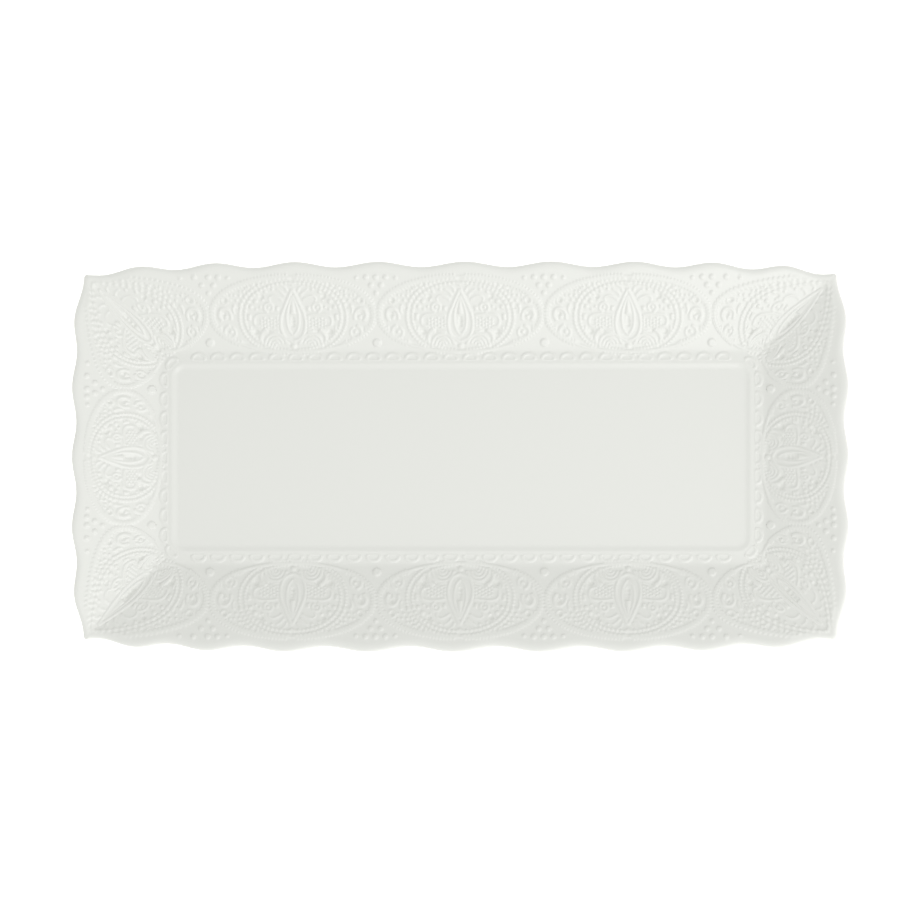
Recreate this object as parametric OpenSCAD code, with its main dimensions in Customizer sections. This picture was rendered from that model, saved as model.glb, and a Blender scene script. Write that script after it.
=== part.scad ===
// China serving platter: a long rectangular tray with four flared flanks, a
// scalloped lip, raised lace medallions, a chain of small loops round the well
// and a foot ring. +Z is up and the foot stands on z = 0 at the centre.

/* [Platter] */
// Length over the longest scallops
platter_l = 356; // [300:1:420]
// Width over the longest scallops
platter_w = 179; // [160:1:220]
// Height from the table to the crest of the lip
platter_h = 26; // [20:0.5:32]
// Thickness of the china
wall = 4.4; // [3.5:0.1:6]

/* [Well] */
// Plan width of the flank at each short end
flank_x = 46; // [40:0.5:52]
// Plan width of the flank along each long side
flank_y = 47.5; // [40:0.5:52]
// Step from the flank down to the well floor
well_step = 0.8; // [0.4:0.1:1.5]
// Height of the foot ring
foot_h = 3; // [2:0.25:6]
// Width of the foot ring
foot_w = 4; // [3:0.25:6]

/* [Scallops] */
// Length of one scallop along the long sides
scallop_long = 38.9; // [37:0.1:41]
// Length of one scallop along the short ends
scallop_short = 31.4; // [30:0.1:33]
// Depth of the scallops along the long sides
scallop_depth_long = 2.4; // [0.5:0.1:4]
// Depth of the scallops along the short ends
scallop_depth_short = 1.9; // [0.5:0.1:4]
// How far each corner tip sits inside the overall size
corner_in = 5.4; // [4:0.1:7]

/* [Ornament] */
// Height of the raised ornament above the flank
relief = 0.8; // [0.4:0.1:1.2]
// Spacing of the loops in the chain round the well
loop_pitch = 8.95; // [8.8:0.05:9]
// Outer radius of one chain loop
loop_r = 3.5; // [2.5:0.1:4]
// Radius of the pearls between the medallions
pearl_r = 1.7; // [1:0.1:2.5]

/* [Hidden] */
china = "#eeeee9";
biscuit = "#e4dfd2";

well_x = platter_l / 2 - flank_x;
well_y = platter_w / 2 - flank_y;
tip_x = platter_l / 2 - corner_in;
tip_y = platter_w / 2 - corner_in;
scallop_drift = 0.004;
bow_power = 5;

// Heights of the floor, of the band round it and of the flank's outer line.
floor_z = foot_h + wall - 0.4;
band_z = floor_z + well_step;

// Shares of the flank's plan width, from 0 at the well to 1 at the lip.
band_t = 0.15;
under_t = 0.2;
slab_t = 0.82;
// Height the flank's plane would reach at the line of the crests.
lip_top_z = band_z + (platter_h - band_z) * (1 - band_t) / (1 - band_t - wall / 2 / flank_y);
slope_y = atan((lip_top_z - band_z) / ((1 - band_t) * flank_y));
slope_x = atan((lip_top_z - band_z) / ((1 - band_t) * flank_x));
wall_v = wall / cos(slope_y);

// Medallion sizes in the plane of a flank.
ring_half = 24.6;
oval_half = 37.8;
oval_half_short = 30.6;
oval_rise = 19.4;
oval_at = 22.6 - band_t * flank_y;
ridge_w = 1.4;
medallion_pitch = 77;
corner_from_x = 1.5 * medallion_pitch;
corner_from_y = 31.4;
chain_at = 3.4;

long_stations = 108;
short_stations = 56;

// Share of the flank, 0 to 1, at a plan point.
function share(x, y) = max((abs(x) - well_x) / flank_x, (abs(y) - well_y) / flank_y);
// Height of the upper face of the flank at a plan point.
function face_z(x, y) =
    band_z + (lip_top_z - band_z) * max(0, (share(x, y) - band_t) / (1 - band_t));
// How many scallops lie between the middle of a side and a point on it.
function scallops(s, pitch) = let (q = s / pitch) q + scallop_drift * pow(q, 3);
// How far the wavy edge dips inside the line of the crests.
function dip(s, pitch, depth) = depth * (1 - cos(360 * scallops(s, pitch))) / 2;
// Distance of the wavy edge from the centre line, along one side.
function edge(s, half, tip, pitch, depth) =
    half - dip(s, pitch, depth)
    - (corner_in - dip(tip, pitch, depth)) * pow(abs(s) / tip, bow_power);
function edge_y(x) = edge(x, platter_w / 2, tip_x, scallop_long, scallop_depth_long);
function edge_x(y) = edge(y, platter_l / 2, tip_y, scallop_short, scallop_depth_short);
function oval(a, b, n = 60) = [for (i = [0 : n - 1]) [a * cos(360 * i / n), b * sin(360 * i / n)]];

// Section of a flank: distance from the centre line against height.
function flank_section(well, flank) = [
    [well, foot_h],
    [well + under_t * flank, foot_h],
    [well + slab_t * flank, slab_z() - wall_v],
    [well + slab_t * flank, slab_z()],
    [well + band_t * flank, band_z],
    [well, band_z]
];
function slab_z() = band_z + (lip_top_z - band_z) * (slab_t - band_t) / (1 - band_t);

// Plan of the flank on the +Y side between two shares of its width.
module plan_y(t0, t1) {
    polygon([
        [-well_x - t0 * flank_x, well_y + t0 * flank_y],
        [well_x + t0 * flank_x, well_y + t0 * flank_y],
        [well_x + t1 * flank_x, well_y + t1 * flank_y],
        [-well_x - t1 * flank_x, well_y + t1 * flank_y]
    ]);
}

// Plan of the flank on the +X side between two shares of its width.
module plan_x(t0, t1) {
    polygon([
        [well_x + t0 * flank_x, -well_y - t0 * flank_y],
        [well_x + t1 * flank_x, -well_y - t1 * flank_y],
        [well_x + t1 * flank_x, well_y + t1 * flank_y],
        [well_x + t0 * flank_x, well_y + t0 * flank_y]
    ]);
}

module flank_long() {
    intersection() {
        rotate([90, 0, 90]) linear_extrude(height = platter_l, center = true)
            polygon(flank_section(well_y, flank_y));
        linear_extrude(height = 2 * platter_h) plan_y(0, slab_t);
    }
}

module flank_short() {
    intersection() {
        rotate([90, 0, 0]) linear_extrude(height = platter_w, center = true)
            polygon(flank_section(well_x, flank_x));
        linear_extrude(height = 2 * platter_h) plan_x(0, slab_t);
    }
}

// Ring of points round the lip's section: inner point a, outer point b in plan.
function lip_section(a, b) =
    let (
        run = norm(b - a),
        dir = (b - a) / run,
        nose = wall / 2,
        root = run - nose,
        place = function (d) a + dir * d,
        top = function (d) let (p = place(d)) face_z(p[0], p[1]),
        mid = root / 2,
        half = wall_v / 2 * 0.94
    )
    concat(
        [[a[0], a[1], top(0)]],
        [let (p = place(mid)) [p[0], p[1], top(mid) + 0.06]],
        [for (k = [0 : 6])
            let (w = 90 - 30 * k, p = place(root + nose * cos(w)))
            [p[0], p[1], top(root) - half + half * sin(w) + (k < 6 ? 0.25 * cos(w) : 0)]],
        [[a[0], a[1], top(0) - wall_v]]
    );

// A closed solid swept through rings that all have the same number of points.
module sweep(rings) {
    n = len(rings);
    m = len(rings[0]);
    polyhedron(
        points = [for (ring = rings) for (p = ring) p],
        faces = concat(
            [for (i = [0 : n - 2]) for (j = [0 : m - 1]) each [
                [i * m + j, i * m + (j + 1) % m, (i + 1) * m + j],
                [i * m + (j + 1) % m, (i + 1) * m + (j + 1) % m, (i + 1) * m + j]]],
            [[for (j = [m - 1 : -1 : 0]) j]],
            [[for (j = [0 : m - 1]) (n - 1) * m + j]]
        )
    );
}

module lip_long() {
    in_x = well_x + slab_t * flank_x;
    in_y = well_y + slab_t * flank_y;
    sweep([for (i = [0 : long_stations])
        let (f = 1 - 2 * i / long_stations)
        lip_section([f * in_x, in_y], [f * tip_x, edge_y(f * tip_x)])]);
}

module lip_short() {
    in_x = well_x + slab_t * flank_x;
    in_y = well_y + slab_t * flank_y;
    sweep([for (i = [0 : short_stations])
        let (f = 2 * i / short_stations - 1)
        lip_section([in_x, f * in_y], [edge_x(f * tip_y), f * tip_y])]);
}

module rounded_rect(hx, hy, r) {
    square([2 * hx - 2 * r, 2 * hy], center = true);
    square([2 * hx, 2 * hy - 2 * r], center = true);
    for (sx = [-1, 1], sy = [-1, 1])
        translate([sx * (hx - r), sy * (hy - r)]) circle(r, $fn = 64);
}

// Frame of the given width inside a rounded rectangle.
module rounded_frame(hx, hy, r, w) {
    difference() {
        rounded_rect(hx, hy, r);
        rounded_rect(hx - w, hy - w, r - w);
    }
}

module well_floor() {
    color(china) translate([0, 0, (foot_h + floor_z) / 2])
        cube([2 * well_x, 2 * well_y, floor_z - foot_h], center = true);
}

module foot_ring() {
    inset = 5;
    color(biscuit) linear_extrude(height = foot_h)
        rounded_frame(well_x - inset, well_y - inset, 12, foot_w);
}

// One loop of the chain, open side towards -Y, its feet at the origin.
module loop() {
    linear_extrude(height = relief * 0.75) intersection() {
        difference() {
            circle(loop_r, $fn = 40);
            circle(loop_r - 1.1, $fn = 32);
        }
        translate([-loop_r, 0]) square([2 * loop_r, loop_r]);
    }
}

module chain_border() {
    long_loops = 14;
    color(china) translate([0, 0, band_z]) linear_extrude(height = relief / 2)
        rounded_frame(well_x + 1.8, well_y + 1.8, 3.5, 1);
    color(china) for (s = [0, 180]) rotate([0, 0, s]) {
        for (i = [0 : 2 * long_loops - 1])
            translate([(i + 0.5 - long_loops) * loop_pitch, well_y + chain_at, band_z]) loop();
        for (i = [-4 : 4])
            translate([well_x + chain_at, i * loop_pitch, band_z]) rotate([0, 0, -90]) loop();
    }
    color(china) for (sx = [-1, 1], sy = [-1, 1])
        translate([sx * (well_x + 1), sy * (well_y + 1), band_z])
            rotate([0, 0, sx > 0 ? sy * 45 - 90 : 90 - sy * 45]) loop();
}

// A raised oval line in the plane of a flank.
module oval_line(a, b) {
    difference() {
        polygon(oval(a, b));
        polygon(oval(a - ridge_w, b - ridge_w));
    }
}

// Pointed leaf that stands in the middle of a medallion.
module leaf(half_w, half_h) {
    r = (half_w * half_w + half_h * half_h) / (2 * half_w);
    intersection() {
        translate([r - half_w, 0]) circle(r, $fn = 96);
        translate([half_w - r, 0]) circle(r, $fn = 96);
    }
}

// A raised ring with a button in the middle.
module curl(r, line, button) {
    difference() {
        circle(r, $fn = 32);
        circle(r - line, $fn = 28);
    }
    circle(button, $fn = 20);
}

// Medallion in the plane of a flank. squeeze narrows it along the side.
module medallion(half, squeeze) {
    ring_b = oval_rise - ridge_w - 1.2;
    translate([0, oval_at]) {
        oval_line(half, oval_rise);
        translate([0, -0.4]) oval_line(ring_half * squeeze, ring_b);
        difference() {
            leaf(4.8, 9.6);
            leaf(3.2, 6.8);
        }
        leaf(1.6, 4.4);
        // Beads inside the upper half of the ring.
        for (i = [0 : 12]) {
            w = 12 + 13 * i;
            translate([(ring_half * squeeze - 3.2) * cos(w), (ring_b - 3.2) * sin(w)])
                circle(0.7, $fn = 16);
        }
        for (side = [-1, 1]) {
            translate([side * 8.6 * squeeze, 7.6]) curl(3.6, 1, 1.3);
            translate([side * 8.4 * squeeze, -8.2]) curl(3.4, 1, 1.2);
            translate([side * 14.6 * squeeze, -1.4]) rotate([0, 0, side * 28]) leaf(2, 5);
            translate([side * 31 * half / oval_half, 6.6]) curl(2, 0.8, 0.6);
            translate([side * 30 * half / oval_half, -0.6]) rotate([0, 0, side * -30]) leaf(1.2, 3);
            translate([side * 27.6 * half / oval_half, -7.4]) rotate([0, 0, side * -42]) leaf(1.2, 3);
        }
    }
}

// Lays a flat drawing on the +Y flank, with relief standing up from it.
module on_long_flank(height) {
    intersection() {
        translate([0, well_y + band_t * flank_y, band_z]) rotate([slope_y, 0, 0])
            linear_extrude(height = height) children();
        linear_extrude(height = 2 * platter_h) plan_y(band_t, slab_t);
    }
}

// Lays a flat drawing on the +X flank, with relief standing up from it.
module on_short_flank(height) {
    intersection() {
        translate([well_x + band_t * flank_x, 0, band_z]) rotate([slope_x, 0, -90])
            linear_extrude(height = height) children();
        linear_extrude(height = 2 * platter_h) plan_x(band_t, slab_t);
    }
}

// Plan stretch of a flank from a corner medallion's edge to the mitre.
function corner_run(well, flank, from, v) = well + v / flank_y * flank - from;

// Half of the corner medallion's lines, drawn on one flank.
module corner_half(well, flank, from, side) {
    v0 = band_t * flank_y;
    function at(w, a, b) =
        let (v = v0 + oval_at + b * sin(w), run = corner_run(well, flank, from, v))
        [side * (from + run * (1 - a * abs(cos(w)))), (v - v0) / cos(slope_y)];
    for (a = [0.93, 0.62]) polygon(concat(
        [for (w = [-90 : 6 : 90]) at(w, a, oval_rise - 2)],
        [for (w = [90 : -6 : -90]) at(w, a - 0.045, oval_rise - 3.4)]
    ));
}

module medallions_long() {
    on_long_flank(relief) {
        for (i = [-1 : 1]) translate([i * medallion_pitch, 0]) medallion(oval_half, 1);
        for (side = [-1, 1]) corner_half(well_x, flank_x, corner_from_x, side);
    }
}

module medallions_short() {
    on_short_flank(relief) {
        medallion(oval_half_short, 0.82);
        for (side = [-1, 1]) corner_half(well_y, flank_y, corner_from_y, side);
    }
}

// Half ball that stands on a tilted plane.
module dome(r) {
    intersection() {
        sphere(r, $fn = 32);
        translate([0, 0, r]) cube(2 * r, center = true);
    }
}

// Half ball on the +Y flank, or on the +X flank.
module pearl_y(x, v, r) {
    translate([x, well_y + v, face_z(0, well_y + v)]) rotate([slope_y, 0, 0]) dome(r);
}
module pearl_x(y, v, r) {
    translate([well_x + v, y, face_z(well_x + v, 0)]) rotate([0, -slope_x, 0]) dome(r);
}

// One large pearl by the chain and a small triangle of pearls by the lip.
module pearls() {
    color(china) for (s = [0, 180]) rotate([0, 0, s]) {
        for (i = [-1.5 : 1.5]) {
            pearl_y(i * medallion_pitch, 10.6, pearl_r);
            pearl_y(i * medallion_pitch, 31, 1.1);
            for (side = [-1, 1]) pearl_y(i * medallion_pitch + side * 2.4, 35.6, 1.1);
        }
        for (i = [-1, 1]) {
            pearl_x(i * corner_from_y, 10.6, pearl_r);
            pearl_x(i * corner_from_y, 31, 1.1);
            for (side = [-1, 1]) pearl_x(i * corner_from_y + side * 2.4, 35.6, 1.1);
        }
    }
}

well_floor();
foot_ring();
color(china) flank_long();  // rim_back
color(china) rotate([0, 0, 180]) flank_long();  // rim_front
color(china) flank_short();  // rim_right
color(china) rotate([0, 0, 180]) flank_short();  // rim_left
color(china) lip_long();  // lip_back
color(china) rotate([0, 0, 180]) lip_long();  // lip_front
color(china) lip_short();  // lip_right
color(china) rotate([0, 0, 180]) lip_short();  // lip_left
chain_border();
color(china) medallions_long();  // medallions_back
color(china) rotate([0, 0, 180]) medallions_long();  // medallions_front
color(china) medallions_short();  // medallions_right
color(china) rotate([0, 0, 180]) medallions_short();  // medallions_left
pearls();
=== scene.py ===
"""China serving platter: a long tray with lace pressed into its flared flanks.

The rim is formed as one smooth blank, the lace is drawn as ribs and beads, and
a Geometry Nodes tree presses it into the blank and softens it as glaze does.
"""

import math

import bmesh
import bpy
import numpy as np
from bpy.props import FloatProperty, FloatVectorProperty, IntProperty, PointerProperty
from mathutils import Matrix, Vector


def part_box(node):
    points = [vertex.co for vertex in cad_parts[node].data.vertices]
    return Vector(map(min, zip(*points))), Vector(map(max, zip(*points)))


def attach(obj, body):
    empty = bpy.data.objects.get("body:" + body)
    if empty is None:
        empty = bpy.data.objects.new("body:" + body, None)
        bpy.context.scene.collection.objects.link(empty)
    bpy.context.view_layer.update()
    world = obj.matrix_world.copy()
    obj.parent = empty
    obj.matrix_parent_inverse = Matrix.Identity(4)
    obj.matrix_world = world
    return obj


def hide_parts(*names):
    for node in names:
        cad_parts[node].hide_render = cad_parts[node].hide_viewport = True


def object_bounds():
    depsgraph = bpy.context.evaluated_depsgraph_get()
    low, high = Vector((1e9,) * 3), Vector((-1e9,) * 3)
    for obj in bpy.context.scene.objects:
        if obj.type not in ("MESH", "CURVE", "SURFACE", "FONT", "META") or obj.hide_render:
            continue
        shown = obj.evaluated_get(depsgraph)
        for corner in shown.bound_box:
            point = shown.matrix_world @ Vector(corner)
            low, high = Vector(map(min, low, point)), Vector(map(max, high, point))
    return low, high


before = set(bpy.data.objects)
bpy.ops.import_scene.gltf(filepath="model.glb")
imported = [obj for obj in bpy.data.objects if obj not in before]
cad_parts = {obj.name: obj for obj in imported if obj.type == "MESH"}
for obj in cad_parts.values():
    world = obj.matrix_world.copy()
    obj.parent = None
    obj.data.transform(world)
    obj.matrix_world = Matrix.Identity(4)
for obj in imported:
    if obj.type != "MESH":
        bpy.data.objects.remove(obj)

bl_info = {
    "name": "China Serving Platter",
    "version": (1, 0, 0),
    "blender": (4, 5, 0),
    "location": "View3D > Sidebar > Platter",
    "description": "Builds a glazed china platter with a scalloped rim and pressed lace",
    "category": "Add Mesh",
}

MM = 0.001
CAD_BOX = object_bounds()

# Sizes in millimetres, taken from the frame where it has them.
HALF_L = CAD_BOX[1][0] / MM
HALF_W = CAD_BOX[1][1] / MM
WELL_X, WELL_Y, FLOOR_Z = (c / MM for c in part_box("well_floor")[1])
FOOT_X, FOOT_Y, BASE_Z = (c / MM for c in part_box("foot_ring")[1])
BAND_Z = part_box("chain_border")[0][2] / MM
FLANK_X, FLANK_Y = HALF_L - WELL_X, HALF_W - WELL_Y

WELL_R = 5.0  # corner radius of the well
FOOT_R = 12.0  # corner radius of the foot ring
FOOT_W = 4.0  # width of the foot ring
BAND_T = 0.15  # share of the flank taken by the flat band round the well
SLOPE_RISE = 23.3  # height that the flank's plane gains over its whole width
WALL_V = 4.9  # thickness of the flank, measured upright
INNER_LAP = 1.9  # how far the rim reaches over the well floor

CORNER_IN = 5.4  # how far each corner tip sits inside the overall size
TIP_CLEAR = 8  # degrees next to each axis that a rounded tip leaves alone
TIP_R = 3.0  # radius of each corner tip
TIP_ANGLE = 52.5  # half the angle between the edges that meet at a tip, in degrees
SCALLOP_DRIFT = 0.0055  # how the scallops shorten away from the middle
BOW_POWER = 5  # how late along a side its edge bends in towards the tip
SCALLOP_LONG, DEPTH_LONG = 39.8, 2.4  # length and depth of one scallop
SCALLOP_SHORT, DEPTH_SHORT = 32.3, 1.9
DRIFT_LONG = 2.3  # how far the long sides' scallops sit off the middle

TILE = 38.5  # half the pitch of the long medallions
TILE_SHORT = 31.3  # half the run of the short side's medallion
TILE_MID = 22.6  # distance of a medallion's middle from the well
ROW_BEAD = 0.83  # radius of the beads strung along the rings
LOOP_PITCH = 8.95
LONG_LOOPS, SHORT_LOOPS = 14, 5  # loops in a quarter of the chain

LIP_TOP, LIP_UNDER = 4.2, 2.8  # how far the rounded lip reaches in, above and below
LIP_DROP = 2.6  # how far the lip's nose lies below its upper edge
FOOT_CORNER = 9.0  # corner radius of the line where the flanks end underneath
UNDER_ROWS = 24  # rows of the mesh under the flanks
POOL_ROUNDS = 10  # how many times the lace is evened out to find its surroundings
POOL_DEPTH = 0.28  # depth below the surroundings at which the glaze lies thickest

# A line and a bead outside the quarter that is looked up, where a tree needs an input.
UNUSED_LINE = (np.array([(0, -900.0), (1, -900.0)]), 0.1, 0.1)
UNUSED_BEAD = (0.0, -1.0, 0.01)


# ---------------------------------------------------------------- small tools
def hex_linear(code):
    """A linear colour from an sRGB hex code."""
    channels = [int(code[i : i + 2], 16) / 255 for i in (1, 3, 5)]
    return [c / 12.92 if c <= 0.04045 else ((c + 0.055) / 1.055) ** 2.4 for c in channels]


def add_node(tree, kind, settings=None, inputs=None, links=None):
    """One node with its settings, its input values and its incoming links."""
    node = tree.nodes.new(kind)
    for name, value in (settings or {}).items():
        setattr(node, name, value)
    for name, value in (inputs or {}).items():
        node.inputs[name].default_value = value
    for name, source in (links or {}).items():
        tree.links.new(source, node.inputs[name])
    return node


def maths(tree, operation, first, second):
    """The result of a maths node between two sockets."""
    node = add_node(tree, "ShaderNodeMath", {"operation": operation}, links={0: first, 1: second})
    return node.outputs[0]


def new_tree(name, sockets):
    """A Geometry Nodes tree with the given inputs: (name, socket type, default)."""
    tree = bpy.data.node_groups.new(name, "GeometryNodeTree")
    tree.interface.new_socket("Geometry", in_out="INPUT", socket_type="NodeSocketGeometry")
    for label, kind, default in sockets:
        socket = tree.interface.new_socket(label, in_out="INPUT", socket_type=kind)
        if default is not None:
            socket.default_value = default
    tree.interface.new_socket("Geometry", in_out="OUTPUT", socket_type="NodeSocketGeometry")
    return tree, tree.nodes.new("NodeGroupInput")


def close_tree(tree, geometry, material_of):
    """Realizes, gives the material and sends the geometry out."""
    real = add_node(tree, "GeometryNodeRealizeInstances", links={"Geometry": geometry})
    coat = add_node(
        tree,
        "GeometryNodeSetMaterial",
        links={"Geometry": real.outputs[0], "Material": material_of.outputs["Material"]},
    )
    add_node(tree, "NodeGroupOutput", links={"Geometry": coat.outputs[0]})


def run_tree(obj, tree, values):
    """The plain mesh that the tree makes from obj. obj is left as it was."""
    modifier = obj.modifiers.new(tree.name, "NODES")
    modifier.node_group = tree
    for item in tree.interface.items_tree:
        if item.in_out == "INPUT" and item.name in values:
            modifier[item.identifier] = values[item.name]
    graph = bpy.context.evaluated_depsgraph_get()
    mesh = bpy.data.meshes.new_from_object(obj.evaluated_get(graph), depsgraph=graph)
    obj.modifiers.remove(modifier)
    return mesh


def plain_mesh(name, points, quads, ends=()):
    """A smooth mesh from points in metres, quads as rows of four and a few longer faces."""
    corners = np.concatenate([np.asarray(quads).ravel(), *ends]).astype(np.int32)
    sizes = np.concatenate([np.full(len(quads), 4), [len(end) for end in ends]]).astype(np.int32)
    mesh = bpy.data.meshes.new(name)
    mesh.vertices.add(len(points))
    mesh.vertices.foreach_set("co", np.asarray(points, np.float32).ravel())
    mesh.loops.add(len(corners))
    mesh.loops.foreach_set("vertex_index", corners)
    mesh.polygons.add(len(sizes))
    mesh.polygons.foreach_set("loop_start", np.cumsum(sizes) - sizes)
    mesh.update(calc_edges=True)
    mesh.shade_smooth()
    return mesh


def link_mesh(name, mesh):
    obj = bpy.data.objects.new(name, mesh)
    bpy.context.scene.collection.objects.link(obj)
    return obj


def drop(*objects):
    """Removes working objects and their meshes."""
    for obj in objects:
        mesh = obj.data
        bpy.data.objects.remove(obj)
        bpy.data.meshes.remove(mesh)


# ------------------------------------------------------------ shape of the rim
def scallops(s, pitch):
    q = s / pitch
    return q + SCALLOP_DRIFT * q**3


def dip(s, pitch, depth):
    return depth * (1 - np.cos(2 * np.pi * scallops(s, pitch))) / 2


def wavy_edge(s, half, tip, pitch, depth, drift):
    """Distance of the scalloped edge from the centre line, along one side. The scallops
    sit a little off the middle, by drift, and come back true at the tips."""
    bow = CORNER_IN - dip(tip, pitch, depth)
    along = s - drift * (1 - (np.abs(s) / tip) ** 4)
    return half - dip(along, pitch, depth) - bow * (np.abs(s) / tip) ** BOW_POWER


def round_tips(points):
    """Rounds the four corner tips of the outline."""
    flat = np.abs(points)
    reach = TIP_R / math.sin(math.radians(TIP_ANGLE)) / math.sqrt(2)
    centre = np.array([HALF_L - CORNER_IN - reach, HALF_W - CORNER_IN - reach])
    arm = flat - centre
    angle = np.degrees(np.arctan2(arm[:, 1], arm[:, 0]))
    inside = (angle > TIP_CLEAR) & (angle < 90 - TIP_CLEAR)
    near = inside & (np.linalg.norm(arm, axis=1) < 3 * TIP_R)
    length = np.linalg.norm(arm[near], axis=1, keepdims=True)
    flat[near] = centre + arm[near] / length * np.minimum(length, TIP_R)
    return flat * np.where(points < 0, -1, 1)


def corner_path(f, start, half_x, half_y, radius):
    """Points on a rounded rectangle from x = start (f = 0) to its corner's middle (f = 1)."""
    straight = half_x - radius - start
    s = f * (straight + radius * math.pi / 4)
    turn = np.maximum(0, s - straight) / radius
    x = start + np.minimum(s, straight) + radius * np.sin(turn)
    y = half_y - radius + radius * np.cos(turn)
    return np.stack([x, y], axis=1)


def well_distance(x, y):
    """Distance outside the rounded rectangle of the well."""
    qx = np.abs(x) - WELL_X + WELL_R
    qy = np.abs(y) - WELL_Y + WELL_R
    outside = np.hypot(np.maximum(qx, 0), np.maximum(qy, 0))
    return outside + np.minimum(np.maximum(qx, qy), 0) - WELL_R


def soft_max(a, b, width):
    return (a + b + np.sqrt((a - b) ** 2 + width**2)) / 2


def share(x, y):
    """Share of the flank's width, 0 at the well to 1 at the crests, soft along the mitres."""
    tx = (np.abs(x) - WELL_X) / FLANK_X
    ty = (np.abs(y) - WELL_Y) / FLANK_Y
    return soft_max(tx, ty, 0.034)


def ease(x):
    x = np.clip(x, 0, 1)
    return x * x * (3 - 2 * x)


def face_height(x, y):
    """Height of the smooth upper face before the lace is pressed in."""
    d = well_distance(x, y)
    step = 0.75 * (BAND_Z - FLOOR_Z) * ease((d + 1.5) / 2.9)
    bead = 0.07 * np.exp(-(((d - 1.5) / 0.9) ** 2))
    tuck = 0.05 * np.clip((-1.55 - d) / 0.3, 0, 1)
    rise = SLOPE_RISE * soft_max(share(x, y) - BAND_T, 0, 0.03)
    return FLOOR_Z + step + bead - tuck + rise


def under_height(x, y):
    """Height of the underside."""
    plane = BAND_Z + SLOPE_RISE * (share(x, y) - BAND_T) - WALL_V
    return soft_max(plane, BASE_Z, 0.8)


def side_columns(long_side, spacing):
    """Columns of one side from mitre to mitre: well end, edge end and foot end, in plan.
    Also the numbers of the columns where one piece ends and the next begins."""
    if long_side:
        wells = (WELL_X - INNER_LAP, WELL_Y - INNER_LAP, 3 * TILE, 2 * TILE)
        feet = (FOOT_X - FOOT_W / 2, FOOT_Y - FOOT_W / 2)
        edge = (HALF_W, HALF_L - CORNER_IN, SCALLOP_LONG, DEPTH_LONG, DRIFT_LONG)
        cuts = [-3 * TILE, -TILE, TILE, 3 * TILE]
    else:
        wells = (WELL_Y - INNER_LAP, WELL_X - INNER_LAP, TILE_SHORT, 2 * TILE_SHORT)
        feet = (FOOT_Y - FOOT_W / 2, FOOT_X - FOOT_W / 2)
        edge = (HALF_L, HALF_W - CORNER_IN, SCALLOP_SHORT, DEPTH_SHORT, 0.0)
        cuts = [-TILE_SHORT, TILE_SHORT]
    well_half, well_side, last_cut, run = wells
    tip = edge[1]
    corner_count = round((tip - last_cut) / spacing)
    f = np.linspace(0, 1, corner_count + 1)[1:]
    well_end = corner_path(f, last_cut, well_half, well_side, WELL_R - INNER_LAP)
    foot_start = min(last_cut, feet[0] - FOOT_CORNER)
    foot_end = corner_path(f, foot_start, feet[0], feet[1], FOOT_CORNER)
    s_edge = last_cut + f * (tip - last_cut)
    count = round(run / spacing)
    middle = np.linspace(cuts[0], cuts[-1], count * (len(cuts) - 1) + 1)
    foot_middle = middle * foot_start / last_cut
    mirror = np.array([-1, 1])
    well = np.concatenate(
        [well_end[::-1] * mirror, np.stack([middle, 0 * middle + well_side], 1), well_end]
    )
    foot = np.concatenate(
        [foot_end[::-1] * mirror, np.stack([foot_middle, 0 * middle + feet[1]], 1), foot_end]
    )
    s = np.concatenate([-s_edge[::-1], middle, s_edge])
    rim = np.stack([s, wavy_edge(s, *edge)], axis=1)
    breaks = [corner_count + count * i for i in range(len(cuts))]
    if not long_side:  # the drawing was made for +Y: turn it to +X, running downwards
        well, foot, rim = ([p[:, 1], -p[:, 0]] for p in (well, foot, rim))
        well, foot, rim = (np.stack(p, axis=1) for p in (well, foot, rim))
    return well, rim, foot, breaks


def rim_blank(spacing):
    """Grid of the whole rim: rows run round its section, columns run round the platter.
    Also the column each piece starts at, and the row at the nose of the lip."""
    parts, starts, offset = [], [], 0
    for turn in (1, -1):
        for long_side in (True, False):
            well, rim, foot, breaks = side_columns(long_side, spacing)
            parts.append([p[:-1] * turn for p in (well, rim, foot)])
            starts += [offset + b for b in breaks]
            offset += len(well) - 1
    well, rim, foot = (np.concatenate([p[k] for p in parts]) for k in range(3))
    rim = round_tips(rim)

    way = rim - well
    length = np.linalg.norm(way, axis=1)
    way /= length[:, None]
    rows = []

    def row(from_edge, down, under):
        at = rim - way * from_edge[:, None]
        height = under_height if under else face_height
        rows.append(np.column_stack([at, height(at[:, 0], at[:, 1]) + down]))

    face_rows = round(FLANK_Y / spacing)
    for f in np.linspace(0, 1, face_rows + 1):
        row(length + f * (LIP_TOP - length), 0, False)
    same = np.ones(len(length))
    for a in np.radians(np.arange(9, 91, 9)):
        row(same * LIP_TOP * (1 - math.sin(a)), -LIP_DROP * (1 - math.cos(a)), False)
    nose = len(rows) - 1
    for a in np.radians([72, 54, 36, 18, 0]):
        row(same * LIP_UNDER * (1 - math.sin(a)), (WALL_V - LIP_DROP) * (1 - math.cos(a)), True)
    last = rows[-1][:, :2]
    for f in np.linspace(0, 1, UNDER_ROWS + 1)[1:]:
        at = last + f * (foot - last)
        rows.append(np.column_stack([at, under_height(at[:, 0], at[:, 1])]))
    # The lace fades out before the smooth border along the lip.
    printed = np.zeros((len(rows), len(length)))
    for i in range(face_rows + 1):
        left = length - (i / face_rows) * (length - LIP_TOP)
        printed[i] = ease((left - LIP_TOP + 1.2) / 1.6)
    return np.array(rows), printed, starts, nose


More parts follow.
